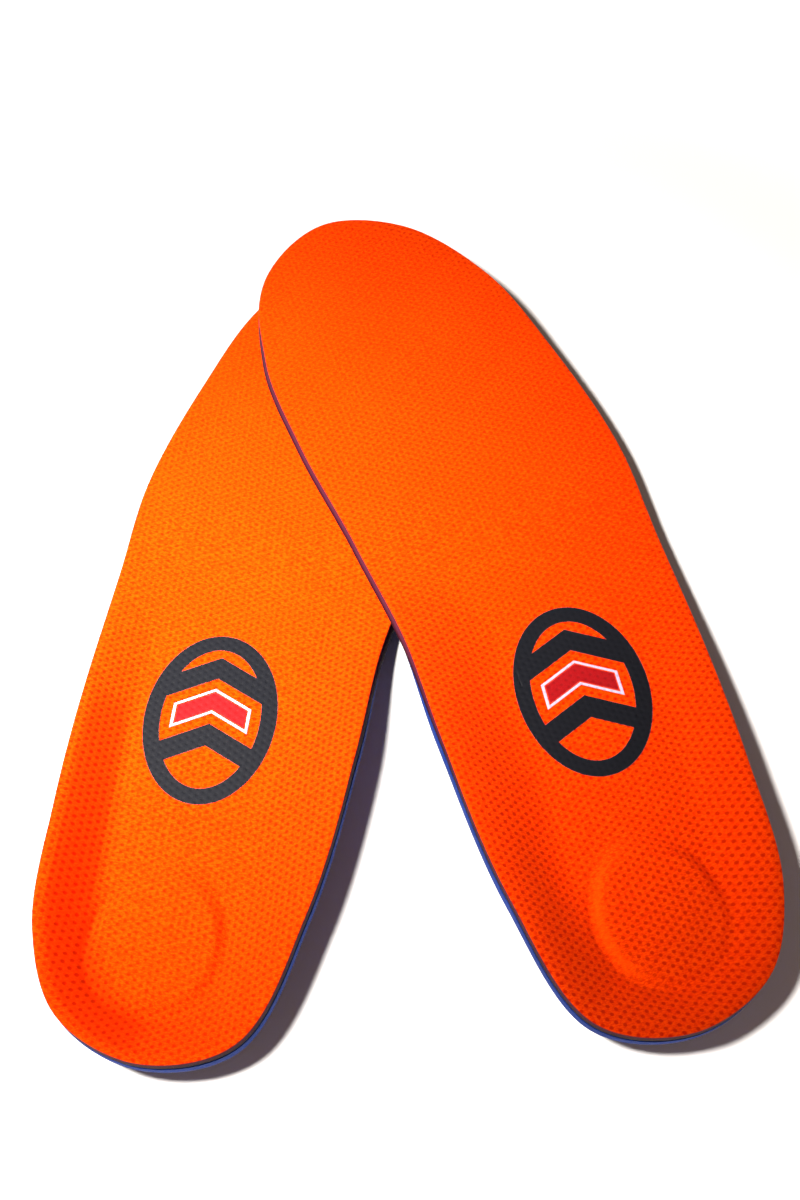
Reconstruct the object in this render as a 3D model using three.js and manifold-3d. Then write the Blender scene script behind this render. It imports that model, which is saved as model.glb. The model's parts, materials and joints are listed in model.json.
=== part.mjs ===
// A pair of cushioned insoles, lying fanned open: the left one flat, the right one over its toes.
// Each insole is a laminate: moulded foam base, soft cushion layer, heel pad under the cover,
// mesh top cover, and a heat-transfer emblem. Millimetres, +Z up, heels towards -Y.
import * as THREE from 'three';
import { mergeVertices } from 'three/addons/utils/BufferGeometryUtils.js';
import Module from 'manifold-3d';

const wasm = await Module();
wasm.setup();

// ---- Driving dimensions, for a right insole whose heel is at the origin and toe towards +Y ----

// Outline of the cover, seen from above, from the back of the heel along the outer side.
const OUTLINE = [
  [1, 0], [22.6, 7.7], [34.3, 27], [39.4, 60], [42.6, 94], [44.3, 133], [44.9, 165], [37.3, 205],
  [26.8, 238], [7, 263], [-18, 270], [-40.3, 254], [-49.7, 222], [-47.2, 189], [-40.3, 152], [-36.2, 120],
  [-35.4, 84.5], [-31.4, 41], [-21.3, 8.3],
];
// Where the outline turns from heel to sides to toe, as shares of its length.
const CORNERS = { heelOuter: 0.047, toeOuter: 0.44, toeInner: 0.53, heelInner: 0.953 };

const HEEL_RIM = 17; // height of the cup's rim at the back of the heel
const ARCH_RIM = 18.5; // height of the rim along the inner arch
const HEEL_THICKNESS = 6; // whole laminate under the heel
const TOE_THICKNESS = 4.5; // whole laminate under the toes
const WALL_WIDTH = 15.5; // how far in from the rim the cup's wall reaches
const INNER_WALL_WIDTH = 21; // the same on the inner side of the heel
const ARCH_WALL_WIDTH = 26; // the same at the inner arch
const WALL_ROLL = 1.7; // how much the wall levels off towards its rim
const UNDERCUT = 0.6; // how far the base tucks in for each mm of rim above the toe's thickness
const BASE_TUCK = 1; // how far it tucks in where there is no wall

// Where the rim and the wall change, as places along the insole or across it.
const ARCH_RISE = [5, 45]; // the rim climbs from the heel to the inner arch
const ARCH_FALL = [76, 152]; // it falls from there to the toe's thickness
const OUTER_FALL = [25, 160]; // it falls from the heel to the toe on the outer side
const INNER_TO_OUTER_RIM = [-12, 12];
const ARCH_WALL_START = [40, 75];
const ARCH_WALL_END = [110, 150];
const INNER_TO_OUTER_WALL = [-20, 8];
const BED_THINS = [90, 180]; // the bed thins from the heel to the toe

const COVER_THICKNESS = 0.8;
const CUSHION_THICKNESS = 1.6;
const GAP = 0.3; // kept between pieces that touch
const FILM_THICKNESS = 0.3;

const PAD = { x: 5.8, y: 32, halfWidth: 16.5, halfLength: 19.5, dome: 1.9, shoulder: 0.3, foot: 1.05 };
const EMBLEM = { x: 7.5, y: 93, turn: -3.5, halfWidth: 18, halfLength: 25, band: 4.5, stroke: 6.5, rise: 9 };
const DARK_CHEVRONS = [15, -5]; // their tips, from the emblem's middle
const RED_CHEVRON = { middle: 5, reach: 9.5, stroke: 5.1, lining: 0.8 };

const FLEX_Y = 184; // the crease across the ball of the foot
const FLEX_GAP = 0.4;

const HEEL_SPREAD = 63.2; // each heel's distance from the middle of the pair
const SPLAY = 12.9; // degrees that each insole turns towards the other
const RIGHT_PITCH = 2.8; // degrees that the right insole climbs over the left one
const RIGHT_ROLL = 2.8; // degrees that it leans towards its outer side

const GRID = { across: 12, along: 30 };
const RIM_SAMPLES = 240;
const CURVE_SEGMENTS = 10;
const BEYOND = 400; // larger than the whole insole, for bodies that only cut
const WELD = 1e-5;

const COVER = { color: 0xff5f05, roughness: 0.85, metalness: 0 };
const CUSHION = { color: 0x432539, roughness: 0.8, metalness: 0 };
const FOAM = { color: 0x1f3f9e, roughness: 0.75, metalness: 0 };
const PAD_GEL = { color: 0x2a6fc4, roughness: 0.5, metalness: 0 };
const FILM_DARK = { color: 0x262a33, roughness: 0.6, metalness: 0 };
const FILM_RED = { color: 0xc01218, roughness: 0.55, metalness: 0 };
const FILM_WHITE = { color: 0xe8e8ee, roughness: 0.55, metalness: 0 };

// ---- Plan shape ----

const outline = new THREE.CatmullRomCurve3(
  OUTLINE.map(([x, y]) => new THREE.Vector3(x, y, 0)), true, 'centripetal');

const { clamp, lerp, smoothstep, degToRad } = THREE.MathUtils;
const ramp = (value, [start, end]) => smoothstep(value, start, end);

// Height of the rim at a point of the outline: the heel cup runs into the arch on the inner side
// and dies out sooner on the outer side.
function rimHeight({ x, y }) {
  const inner = lerp(HEEL_RIM, ARCH_RIM, ramp(y, ARCH_RISE));
  const innerRim = lerp(inner, TOE_THICKNESS, ramp(y, ARCH_FALL));
  const outerRim = lerp(HEEL_RIM, TOE_THICKNESS, ramp(y, OUTER_FALL));
  return lerp(innerRim, outerRim, ramp(x, INNER_TO_OUTER_RIM));
}

// The wall is widest at the inner arch.
function wallWidth({ x, y }) {
  const towardsArch = lerp(INNER_WALL_WIDTH, ARCH_WALL_WIDTH, ramp(y, ARCH_WALL_START));
  const inner = lerp(towardsArch, WALL_WIDTH, ramp(y, ARCH_WALL_END));
  return lerp(inner, WALL_WIDTH, ramp(x, INNER_TO_OUTER_WALL));
}

const rim = Array.from({ length: RIM_SAMPLES }, (_, i) => {
  const point = outline.getPointAt(i / RIM_SAMPLES);
  const along = outline.getTangentAt(i / RIM_SAMPLES);
  return { point, along, height: rimHeight(point), width: wallWidth(point) };
});

// The point of the outline at a share of its length, moved inwards by a share of the base's tuck.
function edge(share, tuck) {
  const s = share - Math.floor(share);
  const point = outline.getPointAt(s);
  const along = outline.getTangentAt(s);
  const inset = tuck * (BASE_TUCK + UNDERCUT * (rimHeight(point) - TOE_THICKNESS));
  return new THREE.Vector2(point.x - along.y * inset, point.y + along.x * inset);
}

// Maps the unit square to the outline: u runs from the inner to the outer side, v from heel to toe.
function plan(u, v, tuck = 0) {
  const { heelOuter, toeOuter, toeInner, heelInner } = CORNERS;
  const heel = (t) => edge(lerp(heelInner - 1, heelOuter, t), tuck);
  const toe = (t) => edge(lerp(toeInner, toeOuter, t), tuck);
  const inner = edge(lerp(heelInner, toeInner, v), tuck);
  const outer = edge(lerp(heelOuter, toeOuter, v), tuck);
  const ends = heel(u).lerp(toe(u), v);
  const sides = inner.lerp(outer, u);
  const corners = heel(0).lerp(heel(1), u).lerp(toe(0).lerp(toe(1), u), v);
  return ends.add(sides).sub(corners);
}

// ---- Heights ----

// The rim's height nearest to a point, and how far in the point is, as a share of the wall's width.
function nearestRim(x, y) {
  let nearest = Infinity;
  let at = rim[0];
  for (const sample of rim) {
    const distance = Math.hypot(sample.point.x - x, sample.point.y - y);
    if (distance < nearest) {
      nearest = distance;
      at = sample;
    }
  }
  const { point, along, height, width } = at;
  const depth = (y - point.y) * along.x - (x - point.x) * along.y;
  return { height, inwards: clamp(depth / width, 0, 1) };
}

// Top of the laminate without the pad's dome: a nearly flat bed whose edge curves up to the rim.
function bedHeight(x, y) {
  const bed = lerp(HEEL_THICKNESS, TOE_THICKNESS, ramp(y, BED_THINS));
  const { inwards, height } = nearestRim(x, y);
  const wall = (1 - inwards) ** 2 * (1 + WALL_ROLL * inwards);
  return lerp(bed, height, wall);
}

// The cover is lifted by the heel pad under it.
function padLift(x, y) {
  const radius = Math.hypot((x - PAD.x) / PAD.halfWidth, (y - PAD.y) / PAD.halfLength);
  return PAD.dome * (1 - smoothstep(radius, 1 - PAD.shoulder, PAD.foot));
}

const coverTop = (x, y) => bedHeight(x, y) + padLift(x, y);
const coverBottom = (x, y) => coverTop(x, y) - COVER_THICKNESS;
const cushionTop = (x, y) => bedHeight(x, y) - COVER_THICKNESS - GAP;
const cushionBottom = (x, y) => cushionTop(x, y) - CUSHION_THICKNESS;
const baseTop = (x, y) => cushionBottom(x, y) - GAP;

// ---- Solids ----

function toManifold(geometry) {
  const bare = geometry.clone();
  bare.deleteAttribute('normal');
  bare.deleteAttribute('uv');
  const merged = mergeVertices(bare, WELD);
  return new wasm.Manifold(new wasm.Mesh({
    numProp: 3,
    vertProperties: merged.attributes.position.array,
    triVerts: Uint32Array.from(merged.index.array),
  }));
}

function toGeometry(solid) {
  const { vertProperties, triVerts } = solid.getMesh();
  const geometry = new THREE.BufferGeometry();
  geometry.setAttribute('position', new THREE.BufferAttribute(vertProperties, 3));
  geometry.setIndex(new THREE.BufferAttribute(triVerts, 1));
  return geometry;
}

// A layer between two height functions, over the whole outline. Its lower face may be tucked in.
function layer(low, high, tuck = 0) {
  const sheet = new THREE.PlaneGeometry(1, 1, GRID.across, GRID.along);
  const { uv } = sheet.attributes;
  const positions = [];
  for (const [height, inset] of [[high, 0], [low, tuck]]) {
    for (let i = 0; i < uv.count; i++) {
      const { x, y } = plan(uv.getX(i), uv.getY(i), inset);
      positions.push(x, y, height(x, y));
    }
  }
  const upper = [...sheet.index.array];
  const triangles = [...upper];
  for (let i = 0; i < upper.length; i += 3) {
    triangles.push(upper[i] + uv.count, upper[i + 2] + uv.count, upper[i + 1] + uv.count);
  }
  const loop = borderOfGrid();
  loop.forEach((from, i) => {
    const to = loop[(i + 1) % loop.length];
    triangles.push(from, from + uv.count, to, to, from + uv.count, to + uv.count);
  });
  const geometry = new THREE.BufferGeometry();
  geometry.setAttribute('position', new THREE.Float32BufferAttribute(positions, 3));
  geometry.setIndex(triangles);
  return toManifold(geometry);
}

// Indices of the grid's border, anticlockwise from above, starting at the toe's inner corner.
function borderOfGrid() {
  const { across, along } = GRID;
  const at = (column, row) => row * (across + 1) + column;
  const count = (n, make) => Array.from({ length: n }, (_, i) => make(i));
  return [
    ...count(along, (i) => at(0, i)),
    ...count(across, (i) => at(i, along)),
    ...count(along, (i) => at(across, along - i)),
    ...count(across, (i) => at(across - i, 0)),
  ];
}

// An outline drawn in plan and pulled up through the whole insole.
function column(shape) {
  const options = { depth: BEYOND, bevelEnabled: false, curveSegments: CURVE_SEGMENTS };
  const geometry = new THREE.ExtrudeGeometry(shape, options);
  geometry.translate(0, 0, -BEYOND / 2);
  return toManifold(geometry);
}

// An oval column of an object that has a half width and a half length, made larger by a margin.
function oval({ halfWidth, halfLength }, margin, x = 0, y = 0) {
  const shape = new THREE.Shape();
  shape.absellipse(x, y, halfWidth + margin, halfLength + margin, 0, 2 * Math.PI);
  return column(shape);
}

const padOval = (margin) => oval(PAD, margin, PAD.x, PAD.y);

// ---- Emblem: an oval ring crossed by chevrons that point to the toes ----

// A chevron of one stroke width whose arms reach equally far to each side of the middle.
function chevron(middle, reach, stroke) {
  const drop = EMBLEM.rise * reach / EMBLEM.halfWidth;
  const shape = new THREE.Shape();
  shape.moveTo(0, middle + stroke / 2);
  shape.lineTo(-reach, middle + stroke / 2 - drop);
  shape.lineTo(-reach, middle - stroke / 2 - drop);
  shape.lineTo(0, middle - stroke / 2);
  shape.lineTo(reach, middle - stroke / 2 - drop);
  shape.lineTo(reach, middle + stroke / 2 - drop);
  shape.closePath();
  return column(shape);
}

// The red chevron, grown by a margin all round.
function redChevron(margin) {
  const { middle, reach, stroke } = RED_CHEVRON;
  return chevron(middle, reach + margin, stroke + 2 * margin);
}

function darkPart() {
  const { halfWidth, band, stroke } = EMBLEM;
  const inside = oval(EMBLEM, -band / 2);
  const ring = oval(EMBLEM, 0).subtract(oval(EMBLEM, -band));
  return DARK_CHEVRONS.reduce(
    (dark, middle) => dark.add(chevron(middle, halfWidth, stroke).intersect(inside)), ring);
}

function placed(solid) {
  return solid.rotate([0, 0, EMBLEM.turn]).translate([EMBLEM.x, EMBLEM.y, 0]);
}

function emblemPieces() {
  const filmLow = (x, y) => coverTop(x, y) + GAP;
  const filmHigh = (x, y) => filmLow(x, y) + FILM_THICKNESS;
  const film = layer(filmLow, filmHigh);
  const lining = redChevron(GAP + RED_CHEVRON.lining).subtract(redChevron(GAP));
  return {
    emblem_ring: [film.intersect(placed(darkPart())), FILM_DARK],
    emblem_chevron: [film.intersect(placed(redChevron(0))), FILM_RED],
    emblem_lining: [film.intersect(placed(lining)), FILM_WHITE],
  };
}

// ---- One insole, and where it flexes ----

function insolePieces() {
  const base = layer(() => 0, baseTop, 1);
  const cushion = layer(cushionBottom, cushionTop).subtract(padOval(GAP));
  const padTop = (x, y) => coverBottom(x, y) - GAP;
  const pad = layer(cushionBottom, padTop).intersect(padOval(0));
  return {
    top_cover: [layer(coverBottom, coverTop), COVER],
    cushion_layer: [cushion, CUSHION],
    foam_base: [base, FOAM],
    heel_pad: [pad, PAD_GEL],
    ...emblemPieces(),
  };
}

// Everything on one side of the flex line.
function half(front) {
  const box = new THREE.BoxGeometry(BEYOND, BEYOND, BEYOND);
  const away = (BEYOND + FLEX_GAP) / 2;
  box.translate(0, FLEX_Y + (front ? away : -away), 0);
  return toManifold(box);
}

function addMesh(group, name, solid, finish) {
  const mesh = new THREE.Mesh(toGeometry(solid), new THREE.MeshStandardMaterial(finish));
  mesh.name = name;
  group.add(mesh);
}

const pair = new THREE.Group();
const left = new THREE.Group();
const right = new THREE.Group();
pair.add(left, right);

for (const [name, [solid, finish]] of Object.entries(insolePieces())) {
  addMesh(left, `left_${name}`, solid.mirror([1, 0, 0]), finish);
  const flexes = solid.boundingBox().max[1] > FLEX_Y;
  if (flexes) {
    addMesh(right, `right_${name}_rear`, solid.intersect(half(false)), finish);
    addMesh(right, `right_${name}_front`, solid.intersect(half(true)), finish);
  } else {
    addMesh(right, `right_${name}`, solid, finish);
  }
}

left.position.x = -HEEL_SPREAD;
left.rotation.z = -degToRad(SPLAY);
right.position.x = HEEL_SPREAD;
right.rotation.set(degToRad(RIGHT_PITCH), degToRad(RIGHT_ROLL), degToRad(SPLAY), 'ZXY');

// Both insoles stand on the ground, and the origin is under the middle of the pair.
pair.updateMatrixWorld(true);
right.position.z = -new THREE.Box3().setFromObject(right, true).min.z;
pair.updateMatrixWorld(true);
const bounds = new THREE.Box3().setFromObject(pair, true);
const middle = bounds.getCenter(new THREE.Vector3());
pair.position.set(-middle.x, -middle.y, -bounds.min.z);

export default pair;
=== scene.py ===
"""Looks for a pair of cushioned insoles: mesh cover, cushion layer, foam base, heel pad and emblem.

Shapes are worked out in millimetres for one insole and put in place in metres, in the CAD frame.
"""

import json
import math

import bpy
import numpy as np
from mathutils import Euler, Matrix, Vector
from mathutils.geometry import delaunay_2d_cdt
from mathutils.kdtree import KDTree


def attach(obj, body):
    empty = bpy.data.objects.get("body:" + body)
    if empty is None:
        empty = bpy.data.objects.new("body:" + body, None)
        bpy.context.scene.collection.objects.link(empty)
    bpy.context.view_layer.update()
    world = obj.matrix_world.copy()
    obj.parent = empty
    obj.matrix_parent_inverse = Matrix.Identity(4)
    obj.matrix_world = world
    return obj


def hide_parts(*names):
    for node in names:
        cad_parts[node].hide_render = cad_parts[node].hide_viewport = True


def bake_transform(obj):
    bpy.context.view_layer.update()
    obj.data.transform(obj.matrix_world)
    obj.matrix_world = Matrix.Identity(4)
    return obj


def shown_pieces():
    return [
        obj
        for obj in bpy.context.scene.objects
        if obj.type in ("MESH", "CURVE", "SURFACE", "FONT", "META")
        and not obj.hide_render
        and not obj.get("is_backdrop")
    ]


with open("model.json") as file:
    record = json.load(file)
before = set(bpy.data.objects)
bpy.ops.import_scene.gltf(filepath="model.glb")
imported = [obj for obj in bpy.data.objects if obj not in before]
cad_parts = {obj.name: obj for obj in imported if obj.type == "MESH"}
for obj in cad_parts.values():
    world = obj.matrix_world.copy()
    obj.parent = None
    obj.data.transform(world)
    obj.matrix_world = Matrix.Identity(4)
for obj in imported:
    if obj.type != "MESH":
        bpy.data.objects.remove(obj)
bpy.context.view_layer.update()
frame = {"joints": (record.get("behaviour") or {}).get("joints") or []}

MM = 0.001
RIGHT, LEFT = 1, -1  # the two sides. Shapes are worked out for a right insole and mirrored

# ---- Driving dimensions, in millimetres, for a right insole whose heel is at the origin ----

OUTLINE = [
    (1, 0), (22.6, 7.7), (34.3, 27), (39.4, 60), (42.6, 94), (44.3, 133), (44.9, 165), (37.3, 205),
    (26.8, 238), (7, 263), (-18, 270), (-40.3, 254), (-49.7, 222), (-47.2, 189), (-40.3, 152),
    (-36.2, 120), (-35.4, 84.5), (-31.4, 41), (-21.3, 8.3),
]
OUTLINE_STEP = 0.5  # between the points that the outline is drawn with

HEEL_RIM, ARCH_RIM = 17.0, 18.5
HEEL_THICKNESS, TOE_THICKNESS = 6.0, 4.5
WALL_WIDTH, INNER_WALL_WIDTH, ARCH_WALL_WIDTH = 15.5, 21.0, 26.0
WALL_ROLL = 1.7  # how much the wall levels off towards its rim
UNDERCUT, BASE_TUCK = 0.6, 1.0

# Ramps, as in the CAD: where one size turns into another, along the insole or across it.
ARCH_RISE, ARCH_FALL, OUTER_FALL = (5, 45), (76, 152), (25, 160)
INNER_TO_OUTER_RIM = -12, 12
ARCH_WALL_START, ARCH_WALL_END = (40, 75), (110, 150)
INNER_TO_OUTER_WALL = -20, 8
BED_THINS = 90, 180

COVER_THICKNESS = 0.8
CUSHION_DEPTH = 2.85  # from the cover's top to the cushion layer's underside
GLUE = 0.05  # left between layers
BASE_DROP = 0.5  # the base's top and the pad's underside lie this much lower again
FILM_THICKNESS, FILM_LIFT, FILM_SAG = 0.08, 0.12, 0.4  # the sag is a share of the holes' depth

PAD = {"x": 5.8, "y": 32.0, "half_width": 16.5, "half_length": 19.5, "dome": 1.9, "taper": 0.1}
CREASE_DEPTH, CREASE_RADIUS, CREASE_WIDTH = 0.42, 1.06, 0.05  # radius and width as shares of the pad's
MOAT_DEPTH, MOAT_RADIUS, MOAT_WIDTH = 0.5, 1.07, 0.22
EMBLEM = {"x": 7.5, "y": 93.0, "turn": -3.5, "half_width": 18.0, "half_length": 25.0,
          "band": 4.5, "stroke": 6.5, "rise": 9.0}
DARK_CHEVRONS, RED_CHEVRON = (15, -5), 5  # their tips, from the emblem's middle
RED_SHAPES = (4, -1.4), (2.9, 0.8), (3.7, -0.8)  # film, lining's outside and inside: gap, extra stroke

# The knit: small holes where three families of rows cross.
KNIT_ROW = 1.70  # between the rows of the first two families
KNIT_TURN, KNIT_OPENING = 4.6, 54.4  # degrees to the first family's normal, and on to the second's
KNIT_WEIGHTS = (0.8, 1.1, 1.1)  # how strongly each family pinches the holes
KNIT_SPLIT = 4  # mesh edges from one hole to the next
HOLE_DEPTH = 0.17
# Openness darkens the knit. The two insoles' values differ as painted shade for their different light.
WALL_OPEN_WITH_SHADE = {RIGHT: 0.88, LEFT: 1.0}  # how open the holes are on the walls,
HEEL_OPEN_WITH_SHADE = {RIGHT: 0.85, LEFT: 0.45}  # on the heel's bed
FOREFOOT_OPEN_WITH_SHADE = {RIGHT: 0.32, LEFT: 0.18}  # and on the forefoot's
SHOULDER_FLAT_HIGHLIGHT = {RIGHT: 1.1, LEFT: 0.0}  # how far the yarn is pulled flat and painted paler on the pad's left shoulder: a painted highlight

HEEL_BEVEL, ARCH_BEVEL = 0.4, 1.35  # how far the layers step out under the cover's edge
COARSE = 3.5  # spacing of the mesh where nothing fine is seen
COARSE_MARGIN, SOLE_MARGIN = 2.6, 11.5  # how far in from the outline it starts
WALL_CURVE, WALL_BULGE, WALL_ROWS = 2.2, 0.06, 12  # the base's wall, from its rim down to the sole
SHARP_ANGLE = math.radians(60)
EVERY_TRIANGLE, INSIDE_ONLY, INSIDE_LESS_HOLES = 0, 1, 2  # what a triangulation keeps

# Where the insoles lie, as in the CAD.
HEEL_SPREAD, SPLAY, RIGHT_PITCH, RIGHT_ROLL = 63.2, 12.9, 2.8, 2.8
FLEX_Y = 184.0


# ---- Plan shape ----

def lerp(a, b, t):
    return a + (b - a) * t


def smoothstep(value, low, high):
    t = np.clip((value - low) / (high - low), 0, 1)
    return t * t * (3 - 2 * t)


def closed_spline(control, step):
    """Points about step apart on the closed centripetal Catmull-Rom curve through the control points."""
    control = np.array(control, float)
    shares = np.linspace(0, 1, 60, endpoint=False)[:, None]
    pieces = []
    for i in range(len(control)):
        a, b, c, d = (control[(i + j) % len(control)] for j in (-1, 0, 1, 2))
        before, here, after = (math.sqrt(math.dist(*ends)) for ends in ((a, b), (b, c), (c, d)))
        leave = ((b - a) / before - (c - a) / (before + here) + (c - b) / here) * here
        arrive = ((c - b) / here - (d - b) / (here + after) + (d - c) / after) * here
        cubic = 2 * b - 2 * c + leave + arrive
        square = 3 * c - 3 * b - 2 * leave - arrive
        pieces.append(b + shares * (leave + shares * (square + shares * cubic)))
    fine = np.vstack([*pieces, control[:1]])
    along = np.concatenate([[0], np.cumsum(np.linalg.norm(np.diff(fine, axis=0), axis=1))])
    count = round(along[-1] / step)
    places = np.linspace(0, along[-1], count, endpoint=False)
    return np.column_stack([np.interp(places, along, fine[:, axis]) for axis in (0, 1)])


def inward_normals(loop):
    """Unit normals to the left of an anticlockwise loop."""
    along = np.roll(loop, -1, axis=0) - np.roll(loop, 1, axis=0)
    along /= np.linalg.norm(along, axis=1)[:, None]
    return np.column_stack([-along[:, 1], along[:, 0]])


def rim_height(x, y):
    inner = lerp(HEEL_RIM, ARCH_RIM, smoothstep(y, *ARCH_RISE))
    inner_rim = lerp(inner, TOE_THICKNESS, smoothstep(y, *ARCH_FALL))
    outer_rim = lerp(HEEL_RIM, TOE_THICKNESS, smoothstep(y, *OUTER_FALL))
    return lerp(inner_rim, outer_rim, smoothstep(x, *INNER_TO_OUTER_RIM))


def wall_width(x, y):
    inner = lerp(INNER_WALL_WIDTH, ARCH_WALL_WIDTH, smoothstep(y, *ARCH_WALL_START))
    inner = lerp(inner, WALL_WIDTH, smoothstep(y, *ARCH_WALL_END))
    return lerp(inner, WALL_WIDTH, smoothstep(x, *INNER_TO_OUTER_WALL))


RIM = closed_spline(OUTLINE, OUTLINE_STEP)
RIM_NORMALS = inward_normals(RIM)
RIM_HEIGHTS = rim_height(*RIM.T)
RIM_WIDTHS = wall_width(*RIM.T)
rim_tree = KDTree(len(RIM))
for index, (rim_x, rim_y) in enumerate(RIM):
    rim_tree.insert((rim_x, rim_y, 0), index)
rim_tree.balance()


def bevel(points):
    """How far the layers step out under the cover's edge: on the inner side, and a little behind."""
    x, y = points.T
    step = lerp(HEEL_BEVEL, ARCH_BEVEL, smoothstep(y, 60, 130))
    return step * (1 - smoothstep(x, 8, 26)) * (1 - smoothstep(y, 222, 245))


def inset_rim(distance, slant=0.0):
    """The outline drawn in by a distance and a share of the bevel."""
    return RIM + RIM_NORMALS * np.reshape(distance + slant * bevel(RIM), (-1, 1))


# ---- Heights, for points of a right insole ----

def nearest_rim(points):
    """How far in from the outline each point is, and the height and wall width of the rim there."""
    found = np.array([rim_tree.find((x, y, 0))[1] for x, y in points])
    depth = ((points - RIM[found]) * RIM_NORMALS[found]).sum(axis=1)
    return depth, RIM_HEIGHTS[found], RIM_WIDTHS[found]


def pad_radius(points):
    """1 on the heel pad's edge. The pad is a little narrower in front."""
    along = (points[:, 1] - PAD["y"]) / PAD["half_length"]
    across = (points[:, 0] - PAD["x"]) / (PAD["half_width"] * (1 - PAD["taper"] * along))
    return np.hypot(across, along)


def pad_lift(points):
    """The pad lifts the cover in a flat dome. The crease round it fades out in front."""
    radius = pad_radius(points)
    crisp = 1 - smoothstep((points[:, 1] - PAD["y"]) / PAD["half_length"], 0.2, 1.1)
    dome = PAD["dome"] * (1 - smoothstep(radius, lerp(0.66, 0.84, crisp), lerp(1.1, 1.03, crisp)))
    crease = CREASE_DEPTH * crisp * np.exp(-((radius - CREASE_RADIUS) / CREASE_WIDTH) ** 2)
    return dome - crease


def unevenness(points):
    """Soft foam is never quite even: slow waves of a tenth of a millimetre or so."""
    x, y = points.T
    return (0.05 * np.sin(0.11 * x + 0.07 * y) * np.sin(0.05 * y - 0.04 * x)
            + 0.03 * np.sin(0.23 * x - 0.13 * y + 1.3))


def bed_height(points):
    """Height of the cover's top as if there were no heel pad: a bed that curves up to the rim."""
    depth, rim, width = nearest_rim(points)
    inwards = np.clip(depth / width, 0, 1)
    bed = lerp(HEEL_THICKNESS, TOE_THICKNESS, smoothstep(points[:, 1], *BED_THINS))
    wall = (1 - inwards) ** 2 * (1 + WALL_ROLL * inwards)
    return bed + (rim - bed) * wall + smoothstep(depth, 1, 8) * unevenness(points)


def surface(points):
    """Height of the cover's top without the knit's holes."""
    return bed_height(points) + pad_lift(points)


def underlay(points):
    """The same for what lies under the cover: lower round the pad, where the cover is creased."""
    radius = pad_radius(points)
    dome = PAD["dome"] * (1 - smoothstep(radius, 0.5, 0.98))
    moat = MOAT_DEPTH * np.exp(-((radius - MOAT_RADIUS) / MOAT_WIDTH) ** 2)
    return bed_height(points) + dome - moat


# ---- The knit ----

def knit_waves():
    """Wave vectors of the three families of rows."""
    turns = np.radians([KNIT_TURN, KNIT_TURN + KNIT_OPENING])
    first, second = 2 * math.pi / KNIT_ROW * np.column_stack([np.cos(turns), np.sin(turns)])
    return np.array([first, second, second - first])


def holes(points):
    """1 in the middle of each hole, falling to 0 on the ribs between them."""
    wave = np.cos(points @ knit_waves().T) @ np.array(KNIT_WEIGHTS)
    return smoothstep(wave, -1.1, 3.0)


def openness_with_painted_light(points, side):
    """How open the knit's holes are, for points of a right insole.

    The walls are stretched open most, the walls on each insole's left most of all, and the toe hardly at
    all.
    The extra on the left walls, which face away from the light, is painted shade, and so are the two
    insoles' different amounts.
    Below 0 the yarn is pulled flat and painted paler: a painted highlight on the right pad's left
    shoulder, which faces the light.
    """
    depth, rim, width = nearest_rim(points)
    x, y = points.T
    leftwards = -x * side
    wall = (1 - smoothstep(depth / width, 0.75, 1.05)) * smoothstep(rim, 5.5, 12)
    # Painted shade: walls on the insole's left face away from the light and are opened and darkened more.
    wall *= smoothstep(depth, 1.0, 3.5) * lerp(0.45, 1.0, smoothstep(leftwards, -10, 10))
    # The two insoles' bed values differ as painted shade for their different light.
    bed = lerp(HEEL_OPEN_WITH_SHADE[side], FOREFOOT_OPEN_WITH_SHADE[side], smoothstep(y, 70, 165))
    bed = bed * lerp(1.0, 0.25, smoothstep(y, 170, 225))
    # Painted highlight: the pad's shoulder that faces the light is pulled flat and painted paler.
    lit_shoulder = np.exp(-((pad_radius(points) - 0.93) / 0.13) ** 2)
    lit_shoulder *= smoothstep((leftwards + PAD["x"]) / PAD["half_width"], -0.1, 0.8)
    return lerp(bed, WALL_OPEN_WITH_SHADE[side], wall) - SHOULDER_FLAT_HIGHLIGHT[side] * lit_shoulder


def knit_points(inside):
    """Points of the knit's lattice, each step between holes split evenly, where inside says so."""
    steps = 2 * math.pi * np.linalg.inv(knit_waves()[:2]).T / KNIT_SPLIT
    count = round(700 * KNIT_SPLIT / KNIT_ROW)
    i, j = np.meshgrid(np.arange(-count, count), np.arange(-count, count))
    points = i.reshape(-1, 1) * steps[0] + j.reshape(-1, 1) * steps[1]
    low, high = RIM.min(axis=0), RIM.max(axis=0)
    reach_x = max(-low[0], high[0])
    near = (np.abs(points[:, 0]) < reach_x) & (points[:, 1] > low[1]) & (points[:, 1] < high[1])
    points = points[near]
    return points[inside(points)]


# ---- Mesh building ----

def mirrored(points, side):
    """Swaps a left insole's points with a right one's. A right insole's stay as they are."""
    return points * np.array([side, 1])


def anticlockwise(loop, side):
    return mirrored(loop, side) if side == RIGHT else mirrored(loop, side)[::-1]


def triangulate(loops, inner):
    """Triangles over what the first loop encloses, less the other loops. The loops' points come first."""
    points = np.vstack([*loops, inner])
    starts = np.cumsum([0] + [len(loop) for loop in loops])
    rings = [list(range(a, b)) for a, b in zip(starts[:-1], starts[1:])]
    keeps = INSIDE_LESS_HOLES if len(loops) > 1 else INSIDE_ONLY
    result = delaunay_2d_cdt([Vector(p) for p in points], [], rings, keeps, 1e-7)
    source = np.array([sources[0] for sources in result[3]])
    return points, source[np.array(result[2])]


def borders(triangles):
    """The triangles' open edges, each with the inside on its left."""
    edges = np.vstack([triangles[:, [0, 1]], triangles[:, [1, 2]], triangles[:, [2, 0]]])
    known = set(map(tuple, edges.tolist()))
    return np.array([edge for edge in edges.tolist() if (edge[1], edge[0]) not in known])


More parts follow.
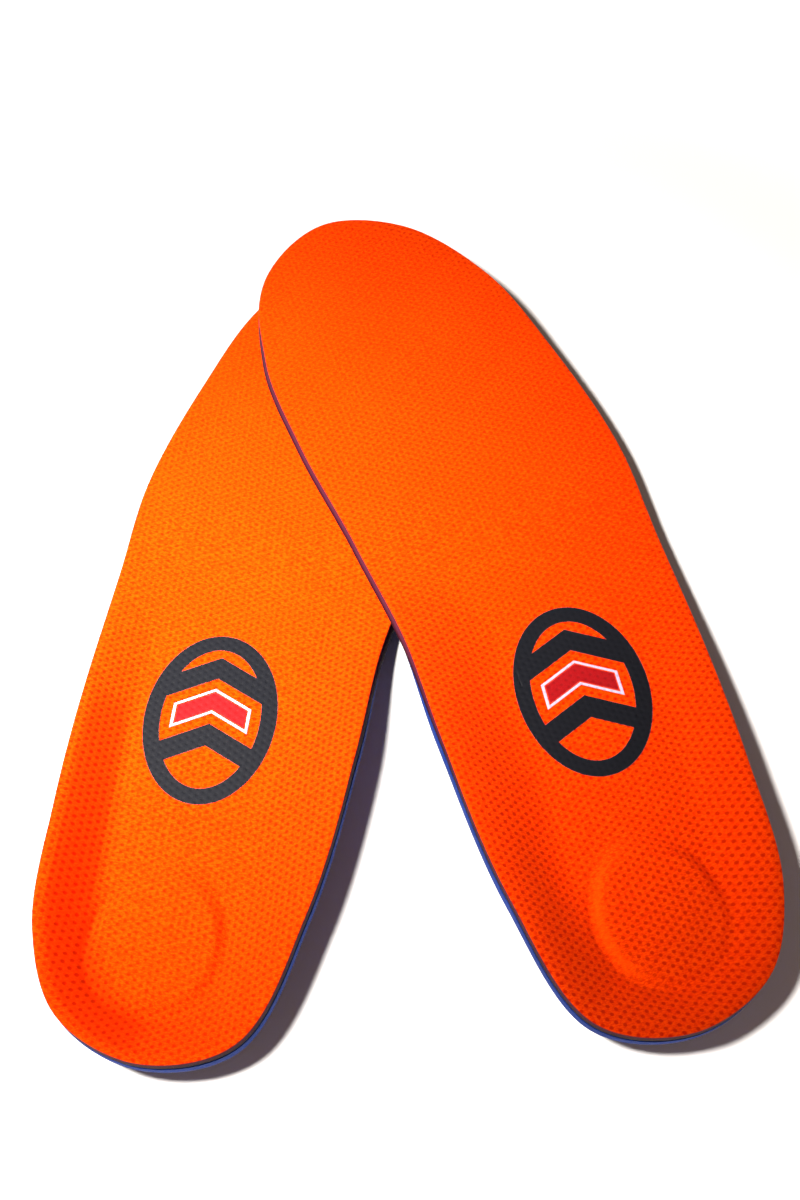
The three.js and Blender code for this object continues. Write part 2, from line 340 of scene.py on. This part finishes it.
def insole_places():
    """The matrices that put a right and a left insole in place, from millimetres to metres."""
    turn = Euler((0, 0, math.radians(SPLAY))).to_matrix()
    pitch = Euler((math.radians(RIGHT_PITCH), 0, 0)).to_matrix()
    roll = Euler((0, math.radians(RIGHT_ROLL), 0)).to_matrix()
    right_turn = turn @ pitch @ roll
    flex = next(joint for joint in frame["joints"] if joint["name"] == "right_toe_flex")
    right_origin = Vector(flex["pos_m"]) - right_turn @ Vector((0, FLEX_Y, TOE_THICKNESS)) * MM
    left_origin = Vector((right_origin.x - 2 * HEEL_SPREAD * MM, right_origin.y, 0))
    scale = Matrix.Diagonal((MM, MM, MM, 1))
    right = Matrix.Translation(right_origin) @ right_turn.to_4x4() @ scale
    left = Matrix.Translation(left_origin) @ turn.inverted().to_4x4() @ scale
    return {RIGHT: right, LEFT: left}


PLACES = insole_places()


def to_world(points, side):
    matrix = np.array(PLACES[side])
    return points @ matrix[:3, :3].T + matrix[:3, 3]


def piece(name, side, points, faces, material, cut=None, open_holes_with_painted_light=None):
    """A mesh from one insole's own millimetres.

    cut is 1 where a point is on a cut edge, and the openness values say how open the knit is there,
    painted shade and a painted highlight included.
    """
    mesh = bpy.data.meshes.new(name)
    mesh.from_pydata(to_world(points, side).tolist(), [], faces, shade_flat=False)
    plan = mesh.attributes.new("plan_mm", "FLOAT_VECTOR", "POINT")
    plan.data.foreach_set("vector", points.astype(np.float32).ravel())
    # The open attribute carries openness with painted shade and a painted highlight in it.
    for label, values in (("cut", cut), ("open", open_holes_with_painted_light)):
        attribute = mesh.attributes.new(label, "FLOAT", "POINT")
        numbers = np.zeros(len(points)) if values is None else values
        attribute.data.foreach_set("value", numbers.astype(np.float32))
    mesh.set_sharp_from_angle(angle=SHARP_ANGLE)
    mesh.materials.append(material)
    obj = bpy.data.objects.new(name, mesh)
    bpy.context.scene.collection.objects.link(obj)
    return obj


def with_heights(points, heights):
    return np.column_stack([points, heights])


def solid(name, side, upper, lower, profile, material):
    """A closed body between an upper and a lower triangulation whose loops have the same points.

    upper and lower are (points with heights, triangles, number of loop points). profile lists
    the wall's rows from the top as (share of the way down, share of the way in).
    """
    (top, top_faces, ring), (bottom, bottom_faces, _) = upper, lower
    rows = [top[:ring]]
    for down, inwards in profile:
        row = top[:ring].copy()
        row[:, :2] = lerp(top[:ring, :2], bottom[:ring, :2], inwards)
        row[:, 2] = lerp(top[:ring, 2], bottom[:ring, 2], down)
        rows.append(row)
    points = np.vstack([top, *rows[1:], bottom])
    first_rows = [0] + [len(top) + ring * i for i in range(len(profile) + 1)]
    faces = top_faces.tolist() + (bottom_faces[:, ::-1] + first_rows[-1]).tolist()
    edge = borders(top_faces)
    for above, below in zip(first_rows[:-1], first_rows[1:]):
        a, b = edge.T
        faces += np.column_stack([a + above, a + below, b + below, b + above]).tolist()
    cut = np.zeros(len(points))
    downs = [down for down, _ in profile] + [1.0]
    for start, down in zip(first_rows[1:], downs):
        cut[start:start + ring] = down
    cut[first_rows[-1] + ring:] = 1.0
    return piece(name, side, points, faces, material, cut, openness_with_painted_light(mirrored(points[:, :2], side), side))


def coarse_points(side, margin, hole=None):
    """An even grid inside the outline, for surfaces that show nothing fine."""
    xs, ys = np.meshgrid(np.arange(-60, 60, COARSE), np.arange(-2, 274, COARSE))
    points = np.column_stack([xs.ravel() + 0.3, ys.ravel()])
    depth = nearest_rim(points)[0]
    keep = depth > margin
    if hole is not None:
        keep &= hole(points)
    return mirrored(points[keep], side)


def level(side, points, offset):
    """Points of a layer under the cover's top, lowered by offset."""
    return with_heights(points, underlay(mirrored(points, side)) - offset)


# ---- Material helpers ----

def material_tree(name):
    material = bpy.data.materials.new(name)
    material.use_nodes = True
    return material, Tree(material.node_tree)


class Tree:
    """Short names for the nodes that the materials use."""

    def __init__(self, tree):
        self.nodes, self.links = tree.nodes, tree.links
        self.shader = next(n for n in self.nodes if n.type == "BSDF_PRINCIPLED")

    def put(self, socket, value):
        if isinstance(value, bpy.types.NodeSocket):
            self.links.new(value, socket)
        else:
            socket.default_value = value

    def set(self, **constants):
        for name, value in constants.items():
            self.shader.inputs[name.replace("_", " ")].default_value = value

    def attribute(self, name, output):
        node = self.nodes.new("ShaderNodeAttribute")
        node.attribute_name = name
        return node.outputs[output]

    def math(self, operation, a, b=0.0):
        node = self.nodes.new("ShaderNodeMath")
        node.operation = operation
        self.put(node.inputs[0], a)
        self.put(node.inputs[1], b)
        return node.outputs[0]

    def dot(self, a, vector):
        node = self.nodes.new("ShaderNodeVectorMath")
        node.operation = "DOT_PRODUCT"
        self.put(node.inputs[0], a)
        node.inputs[1].default_value = vector
        return node.outputs["Value"]

    def stretched(self, vector, factors):
        node = self.nodes.new("ShaderNodeVectorMath")
        node.operation = "MULTIPLY"
        self.put(node.inputs[0], vector)
        node.inputs[1].default_value = factors
        return node.outputs["Vector"]

    def noise(self, vector, scale, detail=2.0, roughness=0.5):
        node = self.nodes.new("ShaderNodeTexNoise")
        self.put(node.inputs["Vector"], vector)
        node.inputs["Scale"].default_value = scale
        node.inputs["Detail"].default_value = detail
        node.inputs["Roughness"].default_value = roughness
        return node.outputs[0]

    def cells(self, vector, scale):
        node = self.nodes.new("ShaderNodeTexVoronoi")
        self.put(node.inputs["Vector"], vector)
        node.inputs["Scale"].default_value = scale
        return node.outputs["Distance"]

    def span(self, value, low, high, to_low=0.0, to_high=1.0, smooth=False):
        node = self.nodes.new("ShaderNodeMapRange")
        node.interpolation_type = "SMOOTHSTEP" if smooth else "LINEAR"
        for socket, number in zip(node.inputs, (value, low, high, to_low, to_high)):
            self.put(socket, number)
        return node.outputs[0]

    def mix(self, share, a, b):
        node = self.nodes.new("ShaderNodeMix")
        node.data_type = "RGBA"
        self.put(node.inputs["Factor"], share)
        self.put(node.inputs[6], a)
        self.put(node.inputs[7], b)
        return node.outputs[2]

    def bump(self, height, distance, strength):
        node = self.nodes.new("ShaderNodeBump")
        node.inputs["Strength"].default_value = strength
        node.inputs["Distance"].default_value = distance
        self.put(node.inputs["Height"], height)
        self.links.new(node.outputs[0], self.shader.inputs["Normal"])

    def knit_wave(self, plan):
        """The sum of the knit's three waves: 3 in a hole, -1.5 on the ribs."""
        total = 0.0
        for wave, weight in zip(knit_waves(), KNIT_WEIGHTS):
            turned = self.math("COSINE", self.dot(plan, (*wave, 0)))
            total = self.math("ADD", self.math("MULTIPLY", turned, weight), total)
        return total


def rgba(red, green, blue):
    return (red, green, blue, 1.0)


def scaled(colour, factor, extra=0.0):
    """A paler or darker kind of a colour, never brighter than white."""
    return rgba(*(min(1.0, channel * factor + extra) for channel in colour))


# ---- Materials ----

ORANGE_DEEP, ORANGE = (0.85, 0.038, 0.0005), (0.90, 0.047, 0.0006)
YARN_DARK, YARN_PALE = (0.68, 0.018, 0.0004), (1.0, 0.082, 0.001)
# Below: paler ribs in patches, and a painted highlight for flat yarn on the pad's lit shoulder.
RIB_PALE, YARN_FLAT_HIGHLIGHT = (1.0, 0.078, 0.001), (1.0, 0.11, 0.002)
# Darker colours for open walls, partly real stretch and partly painted shade, and the holes' dark red,
# partly painted shade in them.
STRETCHED_AND_SHADED, STRETCHED_MOST_AND_SHADED, HOLE = (0.72, 0.022, 0.0004), (0.52, 0.018, 0.0004), (0.48, 0.006, 0.0004)
COVER_CUT = 0.10, 0.012, 0.020


def knit_material():
    """Orange air-mesh knit: dark holes and walls, partly painted shade, fine yarn, soft sheen, violet cut
    edge.
    """
    material, tree = material_tree("mesh_fabric")
    plan = tree.attribute("plan_mm", "Vector")
    cut = tree.attribute("cut", "Fac")
    # The open attribute brings openness with painted shade and a painted highlight in it.
    opened_with_painted_light = tree.attribute("open", "Fac")
    wave = tree.knit_wave(plan)
    hole = tree.span(wave, 0.25, 2.3, smooth=True)
    rib = tree.span(wave, -1.5, 0.4, 1.0, 0.0)
    yarn = tree.noise(tree.stretched(plan, (1.1, 2.8, 1.1)), 1.0, detail=3.0, roughness=0.75)
    mottle = tree.noise(plan, 0.035, detail=3.0)
    rib_patches = tree.noise(plan, 0.4, detail=4.0, roughness=0.6)

    colour = tree.mix(tree.span(mottle, 0.3, 0.7), rgba(*ORANGE_DEEP), rgba(*ORANGE))
    pale_rib = tree.math("MULTIPLY", rib, tree.span(rib_patches, 0.35, 0.7, 0.05, 0.25))
    # Painted shade: the holes are darkened in colour, more where the knit is open.
    shaded_hole = tree.math("MULTIPLY", hole, tree.span(opened_with_painted_light, 0.0, 1.0, 0.3, 0.9))
    for share, tint in (
            (tree.span(yarn, 0.40, 0.5, 0.8, 0.0), YARN_DARK),
            (tree.span(yarn, 0.5, 0.60, 0.0, 0.8), YARN_PALE),
            (pale_rib, RIB_PALE),
            # Partly painted shade: darker where the knit is stretched open and where it lies away from
            # the light.
            (tree.span(opened_with_painted_light, 0.0, 1.0, 0.0, 0.35), STRETCHED_AND_SHADED),
            (tree.span(opened_with_painted_light, 0.88, 1.0, 0.0, 0.5), STRETCHED_MOST_AND_SHADED),
            (shaded_hole, HOLE),
            # Painted highlight: paler where the yarn is pulled flat on the pad's lit shoulder.
            (tree.span(opened_with_painted_light, -0.8, 0.0, 0.75, 0.0), YARN_FLAT_HIGHLIGHT),
            (tree.span(cut, 0.05, 0.6, smooth=True), COVER_CUT)):
        colour = tree.mix(share, colour, rgba(*tint))
    tree.links.new(colour, tree.shader.inputs["Base Color"])

    rough = tree.span(yarn, 0.3, 0.7, 0.72, 0.9)
    tree.links.new(rough, tree.shader.inputs["Roughness"])
    tree.set(Specular_IOR_Level=0.1, Specular_Tint=rgba(1.0, 0.3, 0.03), Sheen_Weight=0.1,
             Sheen_Roughness=0.45, Sheen_Tint=rgba(1.0, 0.22, 0.01))

    height = tree.math("MULTIPLY", hole, -0.15)
    height = tree.math("ADD", height, tree.math("MULTIPLY", yarn, 0.6))
    tree.bump(height, 0.00022, 0.75)
    return material


def foam_material(name, light, dark, cell):
    """Moulded foam: fine cells, faint mottling, pale scuffs, and painted shade darker towards the ground.
    """
    material, tree = material_tree(name)
    plan = tree.attribute("plan_mm", "Vector")
    cut = tree.attribute("cut", "Fac")
    cells = tree.cells(plan, cell)
    grain = tree.noise(plan, 2.2, detail=4.0, roughness=0.65)
    mottle = tree.noise(plan, 0.06, detail=2.0)
    scuff = tree.span(tree.noise(plan, 0.5, detail=5.0, roughness=0.7), 0.62, 0.78, 0.0, 0.12)
    colour = tree.mix(tree.span(mottle, 0.3, 0.7), rgba(*dark), rgba(*light))
    colour = tree.mix(tree.span(cells, 0.0, 0.35, 0.55, 0.0), colour, scaled(dark, 0.4))
    colour = tree.mix(scuff, colour, scaled(light, 1.7, 0.02))
    # Painted shade: the wall darkens down towards the ground, away from the light.
    colour = tree.mix(tree.span(cut, 0.25, 0.8, 0.0, 0.92), colour, scaled(dark, 0.15))
    tree.links.new(colour, tree.shader.inputs["Base Color"])
    tree.links.new(tree.span(grain, 0.3, 0.7, 0.6, 0.85), tree.shader.inputs["Roughness"])
    tree.set(Specular_IOR_Level=0.1)
    height = tree.math("ADD", tree.math("MULTIPLY", cells, 0.7), tree.math("MULTIPLY", grain, 0.6))
    tree.bump(height, 0.00014, 0.6)
    return material


def film_material(name, colour, edge, gloss):
    """Heat-transfer film pressed into the knit: faint holes, fine cracks, a thin pale border."""
    material, tree = material_tree(name)
    plan = tree.attribute("plan_mm", "Vector")
    cut = tree.attribute("cut", "Fac")
    hole = tree.span(tree.knit_wave(plan), 0.6, 2.8, smooth=True)
    grain = tree.noise(plan, 3.0, detail=4.0, roughness=0.7)
    crack = tree.span(tree.noise(plan, 1.6, detail=5.0, roughness=0.75), 0.66, 0.74, 0.0, 0.5)
    base = tree.mix(tree.span(grain, 0.3, 0.7, 0.0, 0.5), rgba(*colour), scaled(colour, 1.9, 0.003))
    base = tree.mix(tree.math("MULTIPLY", hole, 0.3), base, scaled(colour, 0.4))
    base = tree.mix(crack, base, scaled(colour, 1.8, 0.008))
    base = tree.mix(tree.span(cut, 0.45, 1.0, smooth=True), base, rgba(*edge))
    tree.links.new(base, tree.shader.inputs["Base Color"])
    tree.links.new(tree.span(grain, 0.3, 0.7, gloss, gloss + 0.2), tree.shader.inputs["Roughness"])
    tree.set(Specular_IOR_Level=0.1)
    height = tree.math("ADD", tree.math("MULTIPLY", hole, -0.25), tree.math("MULTIPLY", grain, 0.5))
    tree.bump(height, 0.00012, 0.6)
    return material


def gel_material():
    """Soft blue elastomer with small bubbles."""
    material, tree = material_tree("heel_gel")
    plan = tree.attribute("plan_mm", "Vector")
    bubbles = tree.span(tree.cells(plan, 0.9), 0.0, 0.2, 1.0, 0.0)
    cloud = tree.noise(plan, 0.15, detail=3.0)
    colour = tree.mix(tree.span(cloud, 0.3, 0.7), rgba(0.02, 0.13, 0.45), rgba(0.035, 0.18, 0.55))
    colour = tree.mix(tree.math("MULTIPLY", bubbles, 0.4), colour, rgba(0.2, 0.45, 0.8))
    tree.links.new(colour, tree.shader.inputs["Base Color"])
    tree.links.new(tree.span(cloud, 0.3, 0.7, 0.3, 0.45), tree.shader.inputs["Roughness"])
    tree.set(Subsurface_Weight=0.15, Subsurface_Scale=0.003)
    tree.bump(tree.noise(plan, 1.2, detail=3.0), 0.0001, 0.5)
    return material


MATERIALS = {
    "mesh_fabric": knit_material(),
    "cushion_foam": foam_material("cushion_foam", (0.070, 0.012, 0.030), (0.052, 0.009, 0.024), 3.5),
    "base_foam": foam_material("base_foam", (0.010, 0.040, 0.26), (0.007, 0.030, 0.20), 4.5),
    "heel_gel": gel_material(),
    "film_dark": film_material("film_dark", (0.003, 0.0035, 0.006), (0.22, 0.06, 0.06), 0.5),
    "film_red": film_material("film_red", (0.24, 0.0015, 0.003), (0.40, 0.04, 0.04), 0.5),
    "film_white": film_material("film_white", (0.42, 0.36, 0.48), (0.45, 0.30, 0.36), 0.5),
}


# ---- One insole ----

def inside_cover(points):
    """Where a right insole's points are clear of the cover's edge."""
    return nearest_rim(points)[0] > 0.65 + bevel(points)


def top_cover(name, side):
    """The knit cover: holes in the mesh itself, and a pressed, rounded edge."""
    loop = anticlockwise(inset_rim(0.3, 1.0), side)
    outer = anticlockwise(inset_rim(0.05, 0.9), side)
    inner = knit_points(lambda points: inside_cover(mirrored(points, side)))
    points, triangles = triangulate([loop], inner)
    own = mirrored(points, side)
    depth = nearest_rim(own)[0]
    pressed = smoothstep(depth, 0.8, 3.0)
    rounding = 0.2 * (1 - smoothstep(depth, 0.3, 1.9))
    sunk = HOLE_DEPTH * lerp(0.35, 0.9, np.clip(openness_with_painted_light(own, side), 0, 1)) * holes(points) * pressed
    heights = surface(own) - sunk - rounding
    under, under_triangles = triangulate([outer], coarse_points(side, COARSE_MARGIN))
    return solid(
        name, side,
        (with_heights(points, heights), triangles, len(loop)),
        (level(side, under, COVER_THICKNESS), under_triangles, len(loop)),
        [(0.12, 0.55), (0.35, 0.92), (0.6, 1.0)], MATERIALS["mesh_fabric"])


def pad_loop(side, margin):
    turns = np.linspace(0, 2 * math.pi, 160, endpoint=False)
    along = np.sin(turns)
    across = np.cos(turns) * (1 - PAD["taper"] * along)
    loop = np.column_stack([
        PAD["x"] + across * (PAD["half_width"] + margin),
        PAD["y"] + along * (PAD["half_length"] + margin)])
    return anticlockwise(loop, side)


def cushion_layer(name, side):
    """The soft sheet under the cover, with an opening for the heel pad and a bulging cut edge."""
    grid = coarse_points(side, COARSE_MARGIN, lambda points: pad_radius(points) > 1.1)
    hole = pad_loop(side, 0.3)[::-1]
    levels = []
    for inset, slant, offset in ((0.1, 0.85, COVER_THICKNESS + GLUE), (0.05, 0.25, CUSHION_DEPTH)):
        loop = anticlockwise(inset_rim(inset, slant), side)
        points, triangles = triangulate([loop, hole], grid)
        levels.append((level(side, points, offset), triangles, len(loop) + len(hole)))
    bulge = [(0.2, 0.35), (0.5, 0.7), (0.8, 0.95)]
    return solid(name, side, *levels, bulge, MATERIALS["cushion_foam"])


def foam_base(name, side):
    """The moulded base: its wall drops steeply from the rim and curves in under the cup."""
    grid = coarse_points(side, COARSE_MARGIN)
    hidden = smoothstep(RIM[:, 1], 80, 130) * bevel(RIM)  # in front it is hidden under the cushion layer
    loop = anticlockwise(inset_rim(0.05 + 0.8 * hidden), side)
    points, triangles = triangulate([loop], grid)
    flat = bed_height(mirrored(points, side)) - BASE_DROP
    tuck = BASE_TUCK + UNDERCUT * (RIM_HEIGHTS - TOE_THICKNESS)
    sole_loop = anticlockwise(inset_rim(tuck), side)
    sole, sole_triangles = triangulate([sole_loop], coarse_points(side, SOLE_MARGIN))
    profile = [(share, share ** WALL_CURVE - WALL_BULGE * math.sin(math.pi * share))
               for share in np.linspace(0.06, 0.94, WALL_ROWS)]
    return solid(
        name, side,
        (with_heights(points, flat - CUSHION_DEPTH - GLUE), triangles, len(loop)),
        (with_heights(sole, np.zeros(len(sole))), sole_triangles, len(loop)),
        profile, MATERIALS["base_foam"])


def heel_pad(name, side):
    """The soft insert in the cushion layer's opening, domed under the cover."""
    grid = coarse_points(side, 1.5, lambda points: pad_radius(points) < 0.93)
    loop = pad_loop(side, 0.0)
    points, triangles = triangulate([loop], grid)
    lower = bed_height(mirrored(points, side)) - CUSHION_DEPTH - BASE_DROP
    return solid(
        name, side,
        (level(side, points, COVER_THICKNESS + GLUE), triangles, len(loop)),
        (with_heights(points, lower), triangles, len(loop)),
        [(0.3, 0.5), (0.7, 0.5)], MATERIALS["heel_gel"])


# ---- The emblem: an oval ring crossed by chevrons that point to the toes ----

def oval(points, inset):
    """Where points are inside the emblem's oval, drawn in by inset."""
    half = np.array([EMBLEM["half_width"] - inset, EMBLEM["half_length"] - inset])
    return np.linalg.norm(points / half, axis=1) < 1


def oval_loop(inset):
    turns = np.linspace(0, 2 * math.pi, 260, endpoint=False)
    return np.column_stack([
        (EMBLEM["half_width"] - inset) * np.cos(turns),
        (EMBLEM["half_length"] - inset) * np.sin(turns)])


def chevron(points, middle, reach, stroke):
    x, y = points.T
    centre = middle - EMBLEM["rise"] * np.abs(x) / EMBLEM["half_width"]
    return (np.abs(x) < reach) & (np.abs(y - centre) < stroke / 2)


def chevron_loop(middle, reach, stroke):
    xs = np.linspace(-reach, reach, 2 * round(reach / 0.5) + 1)
    centre = middle - EMBLEM["rise"] * np.abs(xs) / EMBLEM["half_width"]
    low, high = np.column_stack([xs, centre - stroke / 2]), np.column_stack([xs, centre + stroke / 2])
    return np.vstack([low, high[::-1]])


def emblem_place(points, side, back=False):
    """Moves points from the emblem's own middle onto one insole, or back."""
    turn = math.radians(EMBLEM["turn"]) * side
    spin = np.array([[math.cos(turn), -math.sin(turn)], [math.sin(turn), math.cos(turn)]])
    middle = np.array([EMBLEM["x"] * side, EMBLEM["y"]])
    return (points - middle) @ spin if back else points @ spin.T + middle


def film(name, side, loops, inside, material):
    """Thin film over the knit, cut along the loops. It sags a little into the holes under it."""
    def near(points):
        local = emblem_place(points, side, back=True)
        return oval(local, -0.5) & inside(local)

    rings = [emblem_place(loop, side) for loop in loops]
    inner = knit_points(near)
    points = np.vstack([*rings, inner])
    starts = np.cumsum([0] + [len(ring) for ring in rings])
    faces = [list(range(a, b)) for a, b in zip(starts[:-1], starts[1:])]
    result = delaunay_2d_cdt([Vector(p) for p in points], [], faces, EVERY_TRIANGLE, 1e-5)
    points, triangles = np.array(result[0]), np.array(result[2])
    middles = emblem_place(points[triangles].mean(axis=1), side, back=True)
    triangles = triangles[inside(middles)]
    used, triangles = np.unique(triangles, return_inverse=True)
    points, triangles = points[used], triangles.reshape(-1, 3)
    heights = surface(mirrored(points, side)) - FILM_SAG * HOLE_DEPTH * holes(points) + FILM_LIFT
    top, bottom = with_heights(points, heights), with_heights(points, heights - FILM_THICKNESS)
    count = len(points)
    edge = borders(triangles)
    a, b = edge.T
    walls = np.column_stack([a, a + count, b + count, b])
    faces = triangles.tolist() + (triangles[:, ::-1] + count).tolist() + walls.tolist()
    cut = np.zeros(2 * count)
    cut[np.unique(edge)] = 1.0
    cut[count:] = 1.0
    return piece(name, side, np.vstack([top, bottom]), faces, MATERIALS[material], cut)


def emblem_films(prefix, side):
    """The emblem's three films, each with its material's slot."""
    arm = EMBLEM["half_width"] - EMBLEM["band"] / 2
    inner = EMBLEM["half_width"] - EMBLEM["band"]
    stroke = EMBLEM["stroke"]
    dark_arms = [(tip, arm, stroke) for tip in DARK_CHEVRONS]
    accent, border, opening = ((RED_CHEVRON, inner - gap, stroke + extra) for gap, extra in RED_SHAPES)

    def dark(points):
        ring = oval(points, 0) & ~oval(points, EMBLEM["band"])
        arms = np.any([chevron(points, *shape) for shape in dark_arms], axis=0)
        return ring | (arms & oval(points, 0))

    def lining(points):
        return chevron(points, *border) & ~chevron(points, *opening)

    def red(points):
        return chevron(points, *accent)

    dark_loops = [oval_loop(0), oval_loop(EMBLEM["band"])] + [chevron_loop(*shape) for shape in dark_arms]
    shapes = {
        "ring": (dark_loops, dark, "film_dark"),
        "chevron": ([chevron_loop(*accent)], red, "film_red"),
        "lining": ([chevron_loop(*border), chevron_loop(*opening)], lining, "film_white"),
    }
    return {part: (film(f"{prefix}_emblem_{part}_film", side, *shape), shape[2])
            for part, shape in shapes.items()}


# ---- The pair, and what each piece rides on ----


def dress(obj, body, nodes):
    """Hides the CAD nodes that a piece replaces and hangs it on its body; for a blend body its place is
    baked into the mesh instead.
    """
    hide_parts(*nodes)
    if body == "blend":
        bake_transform(obj)
    else:
        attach(obj, body)


def insole(prefix, side):
    body = f"{prefix}_insole"
    whole = [""] if side == LEFT else ["_rear", "_front"]
    bends = "blend" if side == RIGHT else body
    layers = {
        "top_cover": (top_cover, "mesh_fabric"),
        "cushion_layer": (cushion_layer, "cushion_foam"),
        "foam_base": (foam_base, "base_foam"),
    }
    made = {}
    for layer, (make, slot) in layers.items():
        name = f"{prefix}_{layer}"
        made[layer] = make(f"{name}_soft", side)
        dress(made[layer], bends, [name + part for part in whole])
    made["heel_pad"] = heel_pad(f"{prefix}_heel_pad_soft", side)
    dress(made["heel_pad"], body, [f"{prefix}_heel_pad"])
    for part, (obj, slot) in emblem_films(prefix, side).items():
        dress(obj, body, [f"{prefix}_emblem_{part}"])


insole("left", LEFT)
insole("right", RIGHT)


# ---- Floor, light and camera, in metres and watts ----

FLOOR_HALF, FLOOR_HEIGHT = 4.0, -0.00005
GLOW_START, GLOW_FULL = 0.18, 0.34  # from the middle, where the paper starts to glow and glows fully

KEY_PLACE = Vector((-0.43, 0.0, 0.88)).normalized() * 1.1
KEY_POWER, KEY_SIZE = 4.7, 0.16
KEY_COLOUR = (1.0, 0.96, 0.92)
GLOW_AIM = (-0.068, -0.004, 0)
GLOW_POWER, GLOW_ANGLE = 225.0, math.radians(17)
FLOOR_KEY_PLACE = Vector((-0.17, -0.115, 0.44))
FLOOR_KEY_POWER, FLOOR_KEY_SIZE = 5.5, 0.065
FILL_PLACE = Vector((0.5, -0.6, 1.2))
FILL_POWER, FILL_SIZE = 0.8, 1.2
FILL_COLOUR = (1.0, 0.44, 0.18)
HORIZON, ZENITH = (0.78, 0.70, 0.65), (0.05, 0.028, 0.018)
HORIZON_SHARE, ZENITH_SHARE = 0.10, 0.55  # how far up the world's colours are reached

CAMERA_HEIGHT_ANGLE = math.radians(60)
CAMERA_DISTANCE = 0.400
CAMERA_AIM = Vector((0.0026, -0.0011, 0.0))
CAMERA_ROLL = math.radians(-3.46)
CAMERA_LENS, CAMERA_SENSOR = 42.0, 36.0


def floor():
    """Pale paper. Away from the insoles it glows, so that it is white to the picture's corners."""
    mesh = bpy.data.meshes.new("floor")
    sides = ((-1, -1), (1, -1), (1, 1), (-1, 1))
    corners = [(x * FLOOR_HALF, y * FLOOR_HALF, FLOOR_HEIGHT) for x, y in sides]
    mesh.from_pydata(corners, [], [(0, 1, 2, 3)])
    material, tree = material_tree("floor_paper")
    tree.set(Base_Color=rgba(0.86, 0.85, 0.84), Roughness=0.9, Specular_IOR_Level=0.1,
             Emission_Color=rgba(1.0, 0.97, 0.95))
    place = tree.nodes.new("ShaderNodeTexCoord").outputs["Object"]
    away = tree.nodes.new("ShaderNodeVectorMath")
    away.operation = "LENGTH"
    tree.put(away.inputs[0], place)
    glow = tree.span(away.outputs["Value"], GLOW_START, GLOW_FULL, smooth=True)
    tree.put(tree.shader.inputs["Emission Strength"], glow)
    mesh.materials.append(material)
    obj = bpy.data.objects.new("floor", mesh)
    bpy.context.scene.collection.objects.link(obj)
    obj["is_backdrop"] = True
    return obj


def only_on(lamp, receivers):
    """The lamp lights these objects only. Everything still casts its shadow."""
    lit = bpy.data.collections.new(f"{lamp.name}_lights")
    for obj in receivers:
        lit.objects.link(obj)
    lamp.light_linking.receiver_collection = lit


def lamp(kind, name, place, aim, power, receivers, **settings):
    """A soft lamp at a place, looking at aim, that lights the receivers."""
    data = bpy.data.lights.new(name, kind)
    data.energy = power
    for setting, value in settings.items():
        setattr(data, setting, value)
    obj = bpy.data.objects.new(name, data)
    obj.location = place
    obj.rotation_euler = (obj.location - Vector(aim)).to_track_quat("Z", "Y").to_euler()
    bpy.context.scene.collection.objects.link(obj)
    only_on(obj, receivers)


def world_light(horizon, zenith):
    """A pale wall all round that fades into a dim ceiling."""
    world = bpy.data.worlds.new("studio")
    world.use_nodes = True
    nodes, links = world.node_tree.nodes, world.node_tree.links
    place = nodes.new("ShaderNodeTexCoord")
    split = nodes.new("ShaderNodeSeparateXYZ")
    ramp = nodes.new("ShaderNodeValToRGB")
    ramp.color_ramp.interpolation = "EASE"
    low, high = ramp.color_ramp.elements
    low.position, low.color = HORIZON_SHARE, rgba(*horizon)
    high.position, high.color = ZENITH_SHARE, rgba(*zenith)
    links.new(place.outputs["Generated"], split.inputs[0])
    links.new(split.outputs["Z"], ramp.inputs["Fac"])
    links.new(ramp.outputs["Color"], nodes["Background"].inputs["Color"])
    bpy.context.scene.world = world


def camera():
    data = bpy.data.cameras.new("camera")
    data.lens, data.sensor_width = CAMERA_LENS, CAMERA_SENSOR
    obj = bpy.data.objects.new("camera", data)
    back = Vector((0, -math.cos(CAMERA_HEIGHT_ANGLE), math.sin(CAMERA_HEIGHT_ANGLE)))
    turn = back.to_track_quat("Z", "Y").to_matrix() @ Matrix.Rotation(CAMERA_ROLL, 3, "Z")
    obj.matrix_world = Matrix.Translation(CAMERA_AIM + back * CAMERA_DISTANCE) @ turn.to_4x4()
    bpy.context.scene.collection.objects.link(obj)
    bpy.context.scene.camera = obj


paper = floor()
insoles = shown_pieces()
centre = (0, 0, 0)
lamp("AREA", "key_on_insoles", KEY_PLACE, centre, KEY_POWER, insoles,
     color=KEY_COLOUR, shape="DISK", size=KEY_SIZE)
lamp("AREA", "key_on_floor", FLOOR_KEY_PLACE, centre, FLOOR_KEY_POWER, [paper],
     color=KEY_COLOUR, shape="DISK", size=FLOOR_KEY_SIZE)
lamp("SPOT", "key_glow", KEY_PLACE, GLOW_AIM, GLOW_POWER, insoles,
     color=KEY_COLOUR, shadow_soft_size=KEY_SIZE / 2, spot_size=GLOW_ANGLE, spot_blend=1.0)
lamp("AREA", "fill_on_floor", FILL_PLACE, centre, FILL_POWER, [paper],
     color=FILL_COLOUR, shape="DISK", size=FILL_SIZE)
world_light(HORIZON, ZENITH)
camera()
bpy.context.scene.view_settings.view_transform = "Standard"
